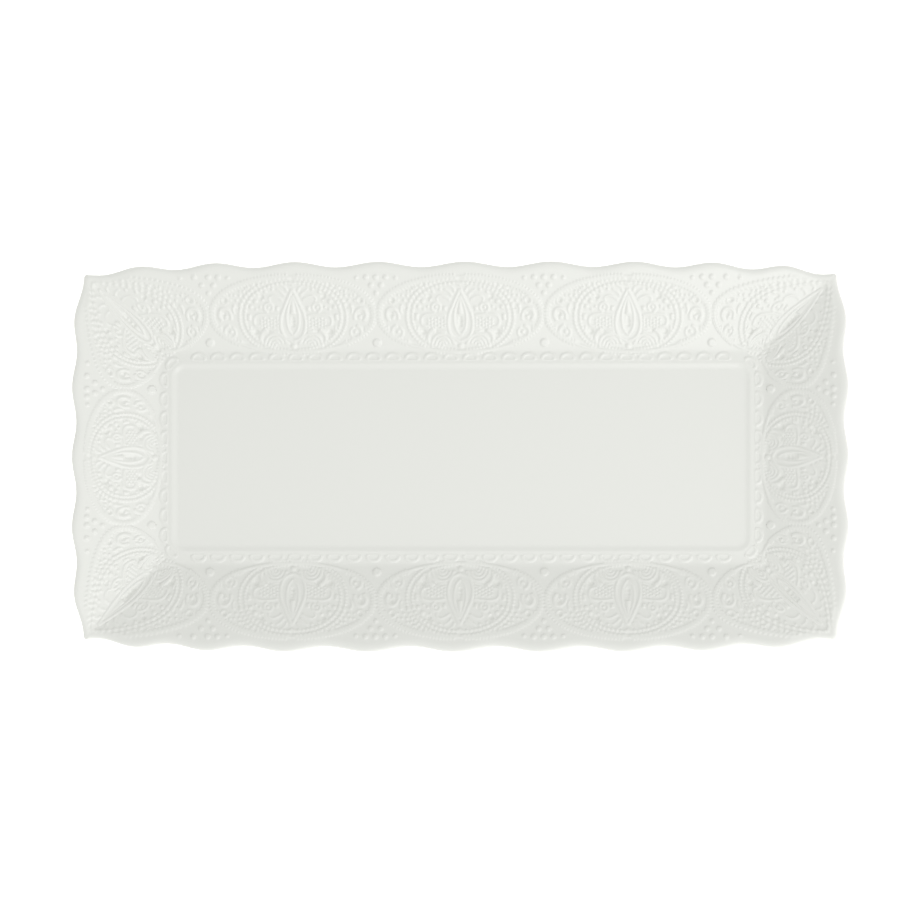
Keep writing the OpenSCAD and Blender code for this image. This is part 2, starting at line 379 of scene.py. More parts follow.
def grid_mesh(name, rows, printed):
    """A closed tube from the grid, with how far each point takes the lace."""
    count, columns = rows.shape[:2]
    r, c = np.meshgrid(np.arange(count), np.arange(columns), indexing="ij")
    r2, c2 = (r + 1) % count, (c + 1) % columns
    quads = np.stack(
        [r * columns + c, r * columns + c2, r2 * columns + c2, r2 * columns + c], axis=-1
    )
    mesh = plain_mesh(name, rows.reshape(-1, 3) * MM, quads.reshape(-1, 4))
    layer = mesh.attributes.new("printed", "FLOAT", "POINT")
    layer.data.foreach_set("value", printed.ravel().astype(np.float32))
    return mesh


# --------------------------------------------------------- drawing of the lace
def smooth_path(points, step=0.45):
    """A smooth open path through the points, sampled about every step millimetres."""
    p = np.array(points, float)
    p = np.concatenate([[2 * p[0] - p[1]], p, [2 * p[-1] - p[-2]]])
    out = []
    for a, b, c, d in zip(p, p[1:], p[2:], p[3:]):
        n = max(2, int(np.linalg.norm(c - b) / step))
        t = np.arange(n)[:, None] / n
        out.append(
            0.5
            * (
                2 * b
                + (c - a) * t
                + (2 * a - 5 * b + 4 * c - d) * t**2
                + (3 * b - 3 * c + d - a) * t**3
            )
        )
    out.append(p[-2:-1])
    return np.concatenate(out)


def oval(a, b, low=0.0, start=0, end=360, fullness=2.15):
    """Part of an oval about (0, low), between two angles in degrees, a little fuller than
    an ellipse."""
    n = max(12, int((a + b) * math.radians(end - start) / 0.9))
    w = np.radians(np.linspace(start, end, n + 1))
    across, up = np.cos(w), np.sin(w)
    across, up = (np.sign(k) * np.abs(k) ** (2 / fullness) for k in (across, up))
    return np.stack([a * across, low + b * up], axis=1)


def ring(x, y, r, start=0, end=360, shrink=0.0):
    """Part of a ring about (x, y), closing in by shrink where it is a spiral."""
    n = max(10, int(r * math.radians(abs(end - start)) / 0.4))
    w = np.radians(np.linspace(start, end, n + 1))
    k = r - shrink * np.linspace(0, 1, n + 1)
    return np.stack([x + k * np.cos(w), y + k * np.sin(w)], axis=1)


def along(path, step):
    """Points at an even step along a path."""
    run = np.concatenate([[0], np.cumsum(np.linalg.norm(np.diff(path, axis=0), axis=1))])
    wanted = np.arange(0, run[-1], step)
    return np.stack([np.interp(wanted, run, path[:, k]) for k in (0, 1)], axis=1)


def medallion():
    """Lace of one medallion about its middle, v outwards: ribs, bead rows, beads and pits.
    What is drawn here on the right is repeated on the left."""
    ribs, rows, beads, pits = [], [], [], []

    def rib(points, start, end=None):
        path = points if isinstance(points, np.ndarray) else smooth_path(points)
        ribs.append((path, start, start if end is None else end))

    # Outer oval: a broad line crossed by short bars.
    rib(oval(37.4, 16.9, 1.1, -90, -40), 0.95, 0.7)
    rib(oval(37.4, 16.9, 1.1, -40, 90), 0.66)
    for inner, outer in zip(
        along(oval(36.0, 15.6, 1.1, -50, 90), 1.5), along(oval(38.7, 18.1, 1.1, -50, 90), 1.6)
    ):
        rib(np.stack([inner, outer]), 0.68)
    # Ring: two bead rows on thin lines. The beads grow towards the lip.
    for a, b in ((24.6, 17.2), (22.1, 15.1)):
        rib(oval(a, b, 0, -84, 90), 0.36)
        rows.append(oval(a, b, 0, -84, 14))
        for u, v in along(oval(a + 0.2, b + 0.1, 0, 17, 89), 2.0):
            beads.append((u, v, 0.98))
    for u, v in along(oval(27.6, 17.9, 0.2, 14, 60), 2.6):
        beads.append((u, v, 0.8))
    for u, v in along(oval(30.8, 15.6, 1.0, 22, 70), 3.1):
        beads.append((u, v, 0.75))

    # Leaf in the middle: pointed towards the lip, with an inner leaf and its slot.
    rib([(0, 12.4), (1.3, 9.8), (3.5, 5), (5.3, 0.4), (5.6, -4.6), (3.9, -9), (0, -11.3)], 0.75)
    rib([(0, 9.6), (1.3, 6.4), (2.5, 2.4), (2.8, -1.8), (2, -5.8), (0, -8.6)], 0.62)
    rib([(0, 8.4), (0, 4.6), (0, 1.2)], 0.5, 1.3)
    pits += [(0, -2, 1.05), (0, -3.8, 1.05), (0, -0.6, 0.8)]
    beads += [(0, -13.3, 1.3), (0, 14.8, 1.1)]

    # Fans beside the leaf's point.
    rib([(2.4, 11.2), (3.2, 13.1), (4.9, 14.2)], 0.65, 0.5)
    rib([(3.6, 9.4), (5.2, 11.2), (7.2, 12.4)], 0.7, 0.5)
    rib([(4.6, 7.4), (6.8, 8.8), (9.2, 9.4), (10.8, 8.2), (10.2, 6.8)], 0.65, 0.5)
    beads += [(2.2, 15.3, 0.7), (9.2, 12.2, 0.8), (7.6, 14.4, 0.7), (12.4, 11.2, 0.85)]
    pits.append((14.2, 9, 1.15))

    # Upper curl, and the long bead between it and the leaf.
    rib(ring(11.0, 4.2, 2.1, -80, 240, 0.3), 0.72, 0.6)
    beads.append((11.2, 4.2, 0.8))
    rib([(7.1, 4.6), (7.2, 2.6)], 0.9, 0.8)
    beads += [(17.1, 6.9, 1.15), (19.2, 4.4, 1.05), (14.9, 4.4, 0.75), (16.8, 3.3, 0.7),
              (13.8, 7.4, 0.7), (15.8, 10.4, 0.85), (18.4, 9.2, 0.8)]

    # Arm over the lattice, curling in at its far end.
    rib([(6.6, 0.4), (9.6, 1), (13.4, 1.2), (16.6, 0.6), (17.9, -1.4), (17.4, -3.8), (15.4, -4.6)],
        0.6, 0.72)
    rib([(20, 1.2), (20.2, -1.6)], 0.95, 0.85)
    for i in range(6):
        for j in range(3):
            beads.append((7.2 + 1.5 * i, -0.8 - 1.6 * j - 0.8 * (i % 2), 0.7))
    for v in (-5.5, -6.9, -8.2):
        rib([(6.6, v), (9.4, v + 0.5)], 0.5, 0.42)

    # Shell at the foot: arches one inside the next, and a fan under it.
    for r, thick in ((4.9, 0.7), (3.2, 0.62), (1.6, 0.55)):
        rib(ring(8.2, -12.6, r, -14, 176), thick)
    beads += [(8.2, -12.7, 0.7), (2.8, -12, 0.8), (3.9, -10, 0.6)]

    # Hooks between the shell and the ring.
    rib([(12.2, -5.6), (14, -7.2), (15, -9.6), (14.4, -12)], 1.15, 0.7)
    rib([(19.6, -4.4), (19.4, -7), (17.9, -9.6), (16.4, -11.6)], 0.6, 0.5)
    pits += [(17, -6.8, 1.3), (11, -6.6, 0.7)]

    # Curls and leaves between the ring and the outer oval.
    rib(ring(31.2, 7.4, 1.6), 0.62)
    pits.append((31.2, 7.4, 0.8))
    rib([(28.4, -1.6), (28.6, 1.4), (30.6, 3.6), (33, 3.2), (33.8, 0.6), (32.6, -2)], 0.7, 0.95)
    rib([(30.6, 0.4), (31.2, -1.4)], 0.9, 0.5)
    rib(ring(28.7, -7, 3.0, 80, -250, 0.9), 0.8, 0.6)
    beads.append((28.6, -6.8, 0.9))
    rib([(26.9, 5.2), (27.4, 3.2), (26.9, 1.2)], 0.8, 0.5)
    rib([(33.4, -4.2), (33, -7.4), (31.2, -10)], 0.55, 0.4)
    rib([(24.6, -10.6), (22, -12.6), (18.8, -13.9)], 0.5, 0.4)
    beads += [(28.4, 9.6, 0.7), (34.2, 6.4, 0.7)]
    pits += [(31.4, 1.4, 0.8), (25, 3.8, 0.6)]

    # Pearls where two medallions meet, three rows towards the lip.
    beads += [(TILE, -11.8, 2.0), (TILE, 10.6, 1.15), (TILE - 2.3, 14.1, 1.3)]
    beads += [(TILE, 17.7, 1.35), (TILE - 4.5, 17.7, 1.3), (TILE - 9, 17.4, 1.0)]
    return ribs, rows, beads, pits


def on_long(u, v):
    """Plan place of a medallion's point on the long side, about x = 0."""
    return u, WELL_Y + TILE_MID + v


def on_short(u, v):
    """The same on the short side, about y = 0."""
    return WELL_X + (TILE_MID + v) * FLANK_X / FLANK_Y, u * TILE_SHORT / TILE


def on_corner(u, v):
    """The same folded over a corner: u < 0 on the long side, u > 0 on the short side."""
    t = (TILE_MID + v) / FLANK_Y
    fold = 1 - np.abs(u) / TILE
    mitre_x, mitre_y = WELL_X + t * FLANK_X, WELL_Y + t * FLANK_Y
    x = np.where(u < 0, 3 * TILE + fold * (mitre_x - 3 * TILE), mitre_x)
    y = np.where(u < 0, mitre_y, TILE_SHORT + fold * (mitre_y - TILE_SHORT))
    return x, y


def lines_mesh(name, lines):
    """A mesh of bare edges from (points in mm, rib start, rib end), with its rib width.
    Points in plan lie level with the flank."""
    points, edges, ribs = [], [], []
    for path, start, end in lines:
        first = sum(len(p) for p in points)
        level = np.zeros((len(path), 3 - path.shape[1]))
        points.append(np.column_stack([path, level]))
        edges += [(first + i, first + i + 1) for i in range(len(path) - 1)]
        ribs += list(np.linspace(start, end, len(path)))
    mesh = bpy.data.meshes.new(name)
    mesh.from_pydata(np.concatenate(points) * MM, edges, [])
    layer = mesh.attributes.new("rib", "FLOAT", "POINT")
    layer.data.foreach_set("value", np.array(ribs, np.float32) * MM)
    return link_mesh(name, mesh)


def dots_mesh(name, dots):
    """A mesh of bare points from (x, y, radius) in mm."""
    dots = np.array(dots, float)
    mesh = bpy.data.meshes.new(name)
    mesh.from_pydata(np.column_stack([dots[:, :2], 0 * dots[:, 0]]) * MM, [], [])
    layer = mesh.attributes.new("rib", "FLOAT", "POINT")
    layer.data.foreach_set("value", dots[:, 2].astype(np.float32) * MM)
    return link_mesh(name, mesh)


def lay_out(place, drawing, sides=(1, -1)):
    """The drawing laid on a flank by place, with its mirror image."""
    ribs, rows, beads, pits = drawing
    out = ([], [], [], [])
    for side in sides:
        for path, start, end in ribs:
            out[0].append((np.column_stack(place(side * path[:, 0], path[:, 1])), start, end))
        for path in rows:
            laid = np.column_stack(place(side * path[:, 0], path[:, 1]))
            out[1].append((laid, ROW_BEAD, ROW_BEAD))
        for group, dots in ((2, beads), (3, pits)):
            for u, v, r in dots:
                x, y = place(np.array(side * u), np.array(v))
                out[group].append((float(x), float(y), r))
    return out


def relief_tree(material_default):
    """Sweeps a round rib along each line, strings beads on the rows, sets the single
    beads, and repeats the whole at an even step."""
    tree, inp = new_tree(
        "Lace Relief",
        [
            ("Bead Rows", "NodeSocketObject", None),
            ("Beads", "NodeSocketObject", None),
            ("Bead Pitch", "NodeSocketFloat", 1.55 * MM),
            ("Repeats", "NodeSocketInt", 1),
            ("Step", "NodeSocketFloat", 2 * TILE * MM),
            ("Material", "NodeSocketMaterial", material_default),
        ],
    )
    width = add_node(
        tree, "GeometryNodeInputNamedAttribute", {"data_type": "FLOAT"}, {"Name": "rib"}
    )
    lines = add_node(tree, "GeometryNodeMeshToCurve", links={"Mesh": inp.outputs["Geometry"]})
    section = add_node(
        tree, "GeometryNodeCurvePrimitiveCircle", inputs={"Resolution": 10, "Radius": 1.0}
    )
    swept = add_node(
        tree,
        "GeometryNodeCurveToMesh",
        inputs={"Fill Caps": True},
        links={
            "Curve": lines.outputs[0],
            "Profile Curve": section.outputs[0],
            "Scale": width.outputs[0],
        },
    )
    ball = add_node(
        tree, "GeometryNodeMeshIcoSphere", inputs={"Radius": 1.0, "Subdivisions": 2}
    )
    rows = add_node(tree, "GeometryNodeObjectInfo", links={"Object": inp.outputs["Bead Rows"]})
    row_lines = add_node(
        tree, "GeometryNodeMeshToCurve", links={"Mesh": rows.outputs["Geometry"]}
    )
    spaced = add_node(
        tree,
        "GeometryNodeResampleCurve",
        {"mode": "LENGTH"},
        links={"Curve": row_lines.outputs[0], "Length": inp.outputs["Bead Pitch"]},
    )
    dots = add_node(tree, "GeometryNodeObjectInfo", links={"Object": inp.outputs["Beads"]})
    parts = [swept.outputs[0]]
    for source in (spaced.outputs[0], dots.outputs["Geometry"]):
        strung = add_node(
            tree,
            "GeometryNodeInstanceOnPoints",
            links={"Points": source, "Instance": ball.outputs[0], "Scale": width.outputs[0]},
        )
        parts.append(strung.outputs[0])
    joined = add_node(tree, "GeometryNodeJoinGeometry")
    for part in parts:
        tree.links.new(part, joined.inputs[0])
    offset = add_node(
        tree, "ShaderNodeCombineXYZ", links={"X": inp.outputs["Step"]}
    )
    places = add_node(
        tree,
        "GeometryNodeMeshLine",
        links={"Count": inp.outputs["Repeats"], "Offset": offset.outputs[0]},
    )
    repeated = add_node(
        tree,
        "GeometryNodeInstanceOnPoints",
        links={"Points": places.outputs[0], "Instance": joined.outputs[0]},
    )
    close_tree(tree, repeated.outputs[0], inp)
    return tree


def press_tree(material_default):
    """Presses the lace into the blank from above. The lace is drawn for one quarter, so
    each point looks it up by its distance from the two centre lines."""
    tree, inp = new_tree(
        "Press Lace",
        [
            ("Lace", "NodeSocketObject", None),
            ("Pits", "NodeSocketObject", None),
            ("Relief", "NodeSocketFloat", 1.0),
            ("Pit Depth", "NodeSocketFloat", 0.5),
            ("Mould Depth", "NodeSocketFloat", 0.6 * MM),
            ("Glaze Softness", "NodeSocketInt", 2),
            ("Material", "NodeSocketMaterial", material_default),
        ],
    )
    place = add_node(tree, "GeometryNodeInputPosition")
    quarter = add_node(
        tree,
        "ShaderNodeVectorMath",
        {"operation": "ABSOLUTE"},
        links={0: place.outputs[0]},
    )
    above = add_node(
        tree,
        "ShaderNodeVectorMath",
        {"operation": "MULTIPLY_ADD"},
        {1: (1, 1, 0), 2: (0, 0, 0.05)},
        {0: quarter.outputs[0]},
    )
    heights = []
    for label in ("Lace", "Pits"):
        stamp = add_node(tree, "GeometryNodeObjectInfo", links={"Object": inp.outputs[label]})
        ray = add_node(
            tree,
            "GeometryNodeRaycast",
            inputs={"Ray Direction": (0, 0, -1), "Ray Length": 0.1},
            links={
                "Target Geometry": stamp.outputs["Geometry"],
                "Source Position": above.outputs[0],
            },
        )
        hit = add_node(
            tree, "ShaderNodeSeparateXYZ", links={0: ray.outputs["Hit Position"]}
        )
        heights.append(maths(tree, "MULTIPLY", hit.outputs["Z"], ray.outputs["Is Hit"]))
    raised = maths(tree, "MULTIPLY", heights[0], inp.outputs["Relief"])
    sunk = maths(tree, "MULTIPLY", heights[1], inp.outputs["Pit Depth"])
    level = maths(tree, "SUBTRACT", raised, sunk)
    printed = add_node(
        tree, "GeometryNodeInputNamedAttribute", {"data_type": "FLOAT"}, {"Name": "printed"}
    )
    # The mould is only so deep: broad shapes come out with flat tops.
    limited = add_node(
        tree,
        "ShaderNodeMath",
        {"operation": "SMOOTH_MIN"},
        {2: 0.4 * MM},
        {0: level, 1: inp.outputs["Mould Depth"]},
    )
    masked = maths(tree, "MULTIPLY", limited.outputs[0], printed.outputs[0])
    soft = add_node(
        tree,
        "GeometryNodeBlurAttribute",
        {"data_type": "FLOAT"},
        links={"Value": masked, "Iterations": inp.outputs["Glaze Softness"]},
    )
    kept = add_node(
        tree,
        "GeometryNodeStoreNamedAttribute",
        {"data_type": "FLOAT", "domain": "POINT"},
        {"Name": "raised"},
        {"Geometry": inp.outputs["Geometry"], "Value": soft.outputs[0]},
    )
    level_kept = add_node(
        tree, "GeometryNodeInputNamedAttribute", {"data_type": "FLOAT"}, {"Name": "raised"}
    )
    normal = add_node(tree, "GeometryNodeInputNormal")
    push = add_node(
        tree,
        "ShaderNodeVectorMath",
        {"operation": "SCALE"},
        links={0: normal.outputs[0], "Scale": level_kept.outputs[0]},
    )
    moved = add_node(
        tree,
        "GeometryNodeSetPosition",
        links={"Geometry": kept.outputs[0], "Offset": push.outputs[0]},
    )
    close_tree(tree, moved.outputs[0], inp)
    return tree


# -------------------------------------------------------------------- finishes
def glazed_china():
    """Hard white porcelain, dipped and gloss fired: a clear, slightly wavy coat that
    gathers in the hollows of the lace, where it looks a little deeper and greener."""
    look = bpy.context.scene.platter_looks
    material = bpy.data.materials.new("glazed_china")
    material.use_nodes = True
    tree = material.node_tree
    shader = tree.nodes["Principled BSDF"]
    shader.inputs["Roughness"].default_value = 0.16
    shader.inputs["IOR"].default_value = 1.5
    shader.inputs["Coat Weight"].default_value = 0.35
    shader.inputs["Coat Roughness"].default_value = 0.06
    coords = add_node(tree, "ShaderNodeTexCoord")
    # Clouding of the fired body, about 60 mm across.
    cloud = add_node(
        tree,
        "ShaderNodeTexNoise",
        inputs={"Scale": 16.0, "Detail": 2.0, "Roughness": 0.5},
        links={"Vector": coords.outputs["Object"]},
    )
    body = add_node(
        tree,
        "ShaderNodeMix",
        {"data_type": "RGBA"},
        links={"Factor": cloud.outputs["Fac"]},
    )
    body.inputs["A"].default_value = (*look.china, 1)
    body.inputs["B"].default_value = (*look.china_cool, 1)
    # Pooled glaze: nothing on the ribs, most in the pits and along the feet of the ribs.
    level = add_node(tree, "ShaderNodeAttribute", {"attribute_name": "pooled"})
    pool = add_node(
        tree,
        "ShaderNodeMix",
        {"data_type": "RGBA"},
        links={"Factor": level.outputs["Fac"], "A": body.outputs["Result"]},
    )
    pool.inputs["B"].default_value = (*look.pooled_glaze, 1)
    tree.links.new(pool.outputs["Result"], shader.inputs["Base Color"])
    # Orange peel of the glaze, about 5 mm across, over long waves of about 35 mm.
    peel = add_node(
        tree,
        "ShaderNodeTexNoise",
        inputs={"Scale": 180.0, "Detail": 1.0, "Roughness": 0.4},
        links={"Vector": coords.outputs["Object"]},
    )
    wave = add_node(
        tree,
        "ShaderNodeTexNoise",
        inputs={"Scale": 28.0, "Detail": 1.0, "Roughness": 0.4},
        links={"Vector": coords.outputs["Object"]},
    )
    long_wave = add_node(
        tree,
        "ShaderNodeBump",
        inputs={"Strength": 0.25, "Distance": 0.0006},
        links={"Height": wave.outputs["Fac"]},
    )
    bump = add_node(
        tree,
        "ShaderNodeBump",
        inputs={"Strength": 0.25, "Distance": 0.00012},
        links={"Height": peel.outputs["Fac"], "Normal": long_wave.outputs["Normal"]},
    )
    tree.links.new(bump.outputs["Normal"], shader.inputs["Normal"])
    # Handling haze: patches where the gloss is a little lower.
    haze = add_node(
        tree,
        "ShaderNodeMapRange",
        inputs={"From Min": 0.3, "From Max": 0.7, "To Min": 0.12, "To Max": 0.2},
        links={"Value": wave.outputs["Fac"]},
    )
    tree.links.new(haze.outputs["Result"], shader.inputs["Roughness"])
    return material


def bare_foot():
    """Biscuit porcelain wiped clean of glaze and rubbed flat: matt, chalky and faintly
    cream, with the fine grit of the fired body."""
    look = bpy.context.scene.platter_looks
    material = bpy.data.materials.new("bare_foot")
    material.use_nodes = True
    tree = material.node_tree
    shader = tree.nodes["Principled BSDF"]
    shader.inputs["Roughness"].default_value = 0.72
    shader.inputs["IOR"].default_value = 1.5
    coords = add_node(tree, "ShaderNodeTexCoord")
    # Grit of about 0.6 mm, coarser than the real 0.1 mm so that it shows.
    grit = add_node(
        tree,
        "ShaderNodeTexNoise",
        inputs={"Scale": 1600.0, "Detail": 2.0, "Roughness": 0.6},
        links={"Vector": coords.outputs["Object"]},
    )
    stain = add_node(
        tree,
        "ShaderNodeTexNoise",
        inputs={"Scale": 60.0, "Detail": 3.0, "Roughness": 0.6},
        links={"Vector": coords.outputs["Object"]},
    )
    tone = add_node(
        tree, "ShaderNodeMix", {"data_type": "RGBA"}, links={"Factor": stain.outputs["Fac"]}
    )
    tone.inputs["A"].default_value = (*look.biscuit, 1)
    tone.inputs["B"].default_value = (*look.biscuit_worn, 1)
    tree.links.new(tone.outputs["Result"], shader.inputs["Base Color"])
    bump = add_node(
        tree,
        "ShaderNodeBump",
        inputs={"Strength": 0.5, "Distance": 0.0001},
        links={"Height": grit.outputs["Fac"]},
    )
    tree.links.new(bump.outputs["Normal"], shader.inputs["Normal"])
    return material


def finish(name, maker):
    """The material of that name, made the first time it is asked for."""
    return bpy.data.materials.get(name) or maker()


# ---------------------------------------------------------------------- pieces
def rounded_rect(half_x, half_y, radius, z, turns=24):
    """Points round a rounded rectangle, turns to a corner."""
    out = []
    for k, (sx, sy) in enumerate(((1, 1), (-1, 1), (-1, -1), (1, -1))):
        for w in np.radians(90 * k + np.linspace(0, 90, turns + 1)):
            out.append(
                (
                    sx * (half_x - radius) + radius * math.cos(w),
                    sy * (half_y - radius) + radius * math.sin(w),
                    z,
                )
            )
    return np.array(out)


def stacked_mesh(name, loops, open_ends):
    """A mesh through loops of equal length: closed by two flat ends, or back on itself."""
    loops = np.array(loops)
    count, around = loops.shape[:2]
    last = count if open_ends else count - 1
    faces = []
    for r in range(last):
        a, b = r * around, (r + 1) % count * around
        for c in range(around):
            d = (c + 1) % around
            faces.append((a + c, a + d, b + d, b + c))
    if not open_ends:
        faces.append(list(range(around))[::-1])
        faces.append([(count - 1) * around + c for c in range(around)])
    mesh = bpy.data.meshes.new(name)
    mesh.from_pydata(loops.reshape(-1, 3) * MM, [], faces)
    mesh.shade_smooth()
    return mesh


def settle(obj, nodes):
    """The piece rides on the platter's one body and stands for these nodes."""
    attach(obj, "root")
    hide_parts(*nodes)


class PlatterSizes(bpy.types.PropertyGroup):
    """Sizes of the pressed lace and of the mesh that carries it."""

    spacing: FloatProperty(
        name="Mesh Spacing",
        description="Distance between the rim's mesh points, in millimetres",
        default=0.29,
        min=0.2,
        max=2,
    )
    relief: FloatProperty(
        name="Relief",
        description="Height of the lace as a share of its drawn height",
        default=0.54,
        min=0,
        max=2,
    )
    pit_depth: FloatProperty(
        name="Pit Depth",
        description="Depth of the hollows as a share of their drawn depth",
        default=0.5,
        min=0,
        max=1,
    )
    mould_depth: FloatProperty(
        name="Mould Depth",
        description="Greatest height of the lace over the flank",
        default=0.6 * MM,
        min=0.1 * MM,
        max=2 * MM,
        subtype="DISTANCE",
        unit="LENGTH",
    )
    softness: IntProperty(
        name="Glaze Softness",
        description="How many times the glaze evens out the lace",
        default=1,
        min=0,
        max=8,
    )
    bead_pitch: FloatProperty(
        name="Bead Pitch",
        description="Spacing of the beads strung along the medallions",
        default=1.55 * MM,
        min=0.5 * MM,
        max=5 * MM,
        subtype="DISTANCE",
        unit="LENGTH",
    )


def colour_property(label, description, code):
    return FloatVectorProperty(
        name=label, description=description, default=hex_linear(code), subtype="COLOR", min=0, max=1
    )


class PlatterLooks(bpy.types.PropertyGroup):
    """Colours of the china, the foot and the floor."""

    china: colour_property("China", "Glazed body, warmer patches", "#E9E8E0")
    china_cool: colour_property("Cool China", "Glazed body, cooler patches", "#E6E8E2")
    pooled_glaze: colour_property("Pooled Glaze", "Glaze where it gathers", "#D9DCCF")
    biscuit: colour_property("Biscuit", "Unglazed foot", "#E7E1D3")
    biscuit_worn: colour_property("Worn Biscuit", "Foot where it has rubbed", "#D3CBB9")
    floor: colour_property("Floor", "Floor under the platter", "#F7F7F5")


class PlatterStage(bpy.types.PropertyGroup):
    """Camera and light."""

    distance: FloatProperty(
        name="Camera Distance",
        description="From the platter to the camera",
        default=3.0,
        min=1,
        max=6,
        subtype="DISTANCE",
        unit="LENGTH",
    )
    view_width: FloatProperty(
        name="View Width",
        description="Width of the view at the platter",
        default=0.4226,
        min=0.2,
        max=2,
        subtype="DISTANCE",
        unit="LENGTH",
    )
    key_power: FloatProperty(
        name="Key Light", description="Power of the soft light", default=6.0, min=0, max=500,
        unit="POWER",
    )
    sky: FloatProperty(
        name="Sky", description="Strength of the even light all round", default=0.75, min=0, max=4
    )


class PLATTER_OT_stage(bpy.types.Operator):
    """Camera over the platter, soft light from the near right and a pale floor"""

    bl_idname = "platter.stage"
    bl_label = "Camera, Light and Floor"

    def execute(self, context):
        stage, scene = context.scene.platter_stage, context.scene
        camera = bpy.data.objects.new("camera", bpy.data.cameras.new("camera"))
        scene.collection.objects.link(camera)
        camera.data.sensor_width = 36
        camera.data.lens = 36 * stage.distance / stage.view_width
        camera.data.clip_end = 20
        target = Vector((-0.0002, -0.0013, 0.013))
        lean_x, lean_y = math.radians(2.0), math.radians(1.0)
        back = Vector((math.sin(lean_x), -math.sin(lean_y), 1.0)).normalized()
        up = (Vector((0, 1, 0)) - back * back.y).normalized()
        across = up.cross(back)
        turn = Matrix((across, up, back)).transposed()
        camera.matrix_world = Matrix.Translation(target + back * stage.distance) @ turn.to_4x4()
        scene.camera = camera
        scene.view_settings.view_transform = "Standard"

        world = bpy.data.worlds.new("sky")
        world.use_nodes = True
        backdrop = world.node_tree.nodes["Background"]
        backdrop.inputs["Color"].default_value = (0.985, 1.0, 0.975, 1)
        backdrop.inputs["Strength"].default_value = stage.sky
        scene.world = world

        lamp = bpy.data.lights.new("softbox", "AREA")
        lamp.shape = "RECTANGLE"
        lamp.size, lamp.size_y = 1.4, 1.1
        lamp.energy = stage.key_power
        box = bpy.data.objects.new("softbox", lamp)
        scene.collection.objects.link(box)
        box.location = (0.66, -0.66, 0.7)
        aim = Vector((0, 0, 0)) - box.location
        box.rotation_euler = aim.to_track_quat("-Z", "Z").to_euler()

        half = 4.0
        mesh = bpy.data.meshes.new("floor")
        corners = [(-half, -half, 0), (half, -half, 0), (half, half, 0), (-half, half, 0)]
        mesh.from_pydata(corners, [], [(0, 1, 2, 3)])
        floor = link_mesh("floor", mesh)
        paper = bpy.data.materials.new("floor_paper")
        paper.use_nodes = True
        shader = paper.node_tree.nodes["Principled BSDF"]
        colour = (*scene.platter_looks.floor, 1)
        shader.inputs["Base Color"].default_value = colour
        shader.inputs["Roughness"].default_value = 0.9
        shader.inputs["Emission Color"].default_value = (1, 1, 1, 1)
        shader.inputs["Emission Strength"].default_value = 0.8
        mesh.materials.append(paper)
        return {"FINISHED"}


class PLATTER_OT_lace(bpy.types.Operator):
    """Draws a quarter of the lace and of the chain of loops, ready to be pressed"""

    bl_idname = "platter.lace"
    bl_label = "Lace Pattern"

    def execute(self, context):
        sizes = context.scene.platter_sizes
        china = finish("glazed_china", glazed_china)
        relief = relief_tree(china)
        drawing = medallion()
        tile = lay_out(on_long, drawing)
        ends = tuple(
            a + b for a, b in zip(lay_out(on_short, drawing), lay_out(on_corner, drawing))
        )
        # One link of the chain: a low arch on two feet, with a faint sill between them.
        arch = smooth_path([(-3.0, -1.3), (-2.7, 0.2), (-1.5, 1.15), (0, 1.45), (1.5, 1.15),
                            (2.7, 0.2), (3.0, -1.3)])
        sill = smooth_path([(-2.7, -1.5), (0, -1.5), (2.7, -1.5)])
        loop_middle, loop_middle_short, loop_sunk = 4.3, 4.9, 0.3

        def turned(degrees, x, y):
            c, s = math.cos(math.radians(degrees)), math.sin(math.radians(degrees))
            out = []
            for path, width in ((arch, 0.95), (sill, 0.6)):
                path = path @ np.array([[c, s], [-s, c]]) + (x, y)
                out.append((np.column_stack([path, np.full(len(path), -loop_sunk)]), width, width))
            return out

        ends[0].extend(turned(-45, WELL_X + 1.6, WELL_Y + 1.6))
        for i in range(SHORT_LOOPS):
            ends[0].extend(turned(-90, WELL_X + loop_middle_short, i * LOOP_PITCH))
        chain = turned(0, LOOP_PITCH / 2, WELL_Y + loop_middle)

        meshes = []
        for name, parts, repeats, step in (
            ("tile", tile, 2, 2 * TILE),
            ("ends", ends, 1, 1),
            ("chain", (chain, [UNUSED_LINE], [UNUSED_BEAD]), LONG_LOOPS, LOOP_PITCH),
        ):
            lines = lines_mesh(name + "_lines", parts[0])
            rows = lines_mesh(name + "_rows", parts[1])
            dots = dots_mesh(name + "_beads", parts[2])
            values = {
                "Bead Rows": rows,
                "Beads": dots,
                "Bead Pitch": sizes.bead_pitch,
                "Repeats": repeats,
                "Step": step * MM,
                "Material": china,
            }
            meshes.append(run_tree(lines, relief, values))
            drop(lines, rows, dots)
        join_meshes("lace", meshes)

        hollows = []
        for name, parts, repeats, step in (("tile", tile, 2, 2 * TILE), ("ends", ends, 1, 1)):
            dots = dots_mesh(name + "_pits", parts[3])
            blank = lines_mesh("none", [UNUSED_LINE])
            values = {
                "Bead Rows": blank,
                "Beads": dots,
                "Repeats": repeats,
                "Step": step * MM,
                "Material": china,
            }
            hollows.append(run_tree(blank, relief, values))
            drop(dots, blank)
        join_meshes("lace_pits", hollows)
        return {"FINISHED"}


def join_meshes(name, meshes):
    """One object from several plain meshes."""
    joined = bmesh.new()
    for mesh in meshes:
        joined.from_mesh(mesh)
        bpy.data.meshes.remove(mesh)
    result = bpy.data.meshes.new(name)
    joined.to_mesh(result)
    joined.free()
    return link_mesh(name, result)


